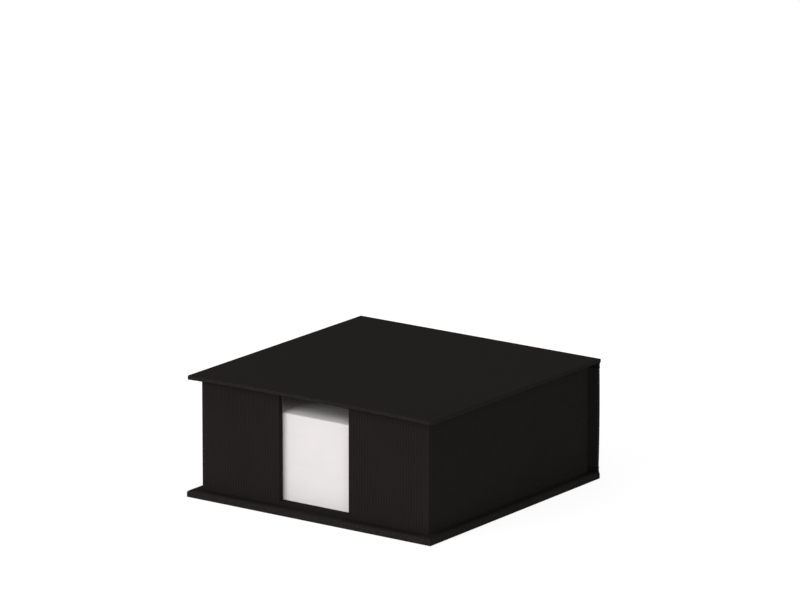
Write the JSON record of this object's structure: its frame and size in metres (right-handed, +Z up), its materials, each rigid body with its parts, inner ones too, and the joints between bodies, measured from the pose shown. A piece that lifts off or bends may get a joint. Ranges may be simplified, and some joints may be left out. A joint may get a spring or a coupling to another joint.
{
  "type": "sticky note dispenser",
  "caption": "Square covered-board box in book form: a hinged lid over a ribbed tray with a finger slot in front, holding a stack of square sticky notes.",
  "frame": {"origin": "middle of the underside of the case, which is the middle of the bounding box's bottom face", "axes": "+X to the right of someone facing the finger slot, -Y is the front with the slot, +Y is the hinged back, +Z up"},
  "size_m": [0.088, 0.0874, 0.037],
  "materials": {
    "cover_paper": "smooth matte black covering paper",
    "ribbed_paper": "matte black covering paper with fine upright ribs",
    "lining_paper": "matte black lining paper",
    "hinge_paper": "matte black covering paper over cloth, flexible",
    "greyboard": "dense unbleached grey board",
    "note_paper": "uncoated white note paper"
  },
  "bodies": {
    "case": {"base_board": "greyboard", "base_cover": "cover_paper", "base_lining": "lining_paper", "spine_board": "greyboard", "spine_cover": "cover_paper", "spine_lining": "lining_paper", "lid_hinge_strip": "hinge_paper", "base_hinge_strip": "hinge_paper", "tray_floor": "greyboard", "tray_left_wall": "greyboard", "tray_right_wall": "greyboard", "tray_rear_wall": "greyboard", "front_left_panel": "greyboard", "front_right_panel": "greyboard", "tray_wrap": "ribbed_paper", "tray_lining": "lining_paper"},
    "lid": {"lid_board": "greyboard", "lid_cover": "cover_paper", "lid_lining": "lining_paper"},
    "notes": {"note_pad_1": "note_paper", "note_pad_2": "note_paper", "note_pad_3": "note_paper"}
  },
  "joints": [
    {"name": "lid_hinge", "type": "hinge", "parent": "case", "child": "lid", "pos_m": [0, 0.04375, 0.0358], "axis": [-1, 0, 0], "range_deg": [0, 200]},
    {"name": "notes_lift", "type": "slide", "parent": "case", "child": "notes", "axis": [0, 0, 1], "range_m": [0, 0.005]}
  ]
}
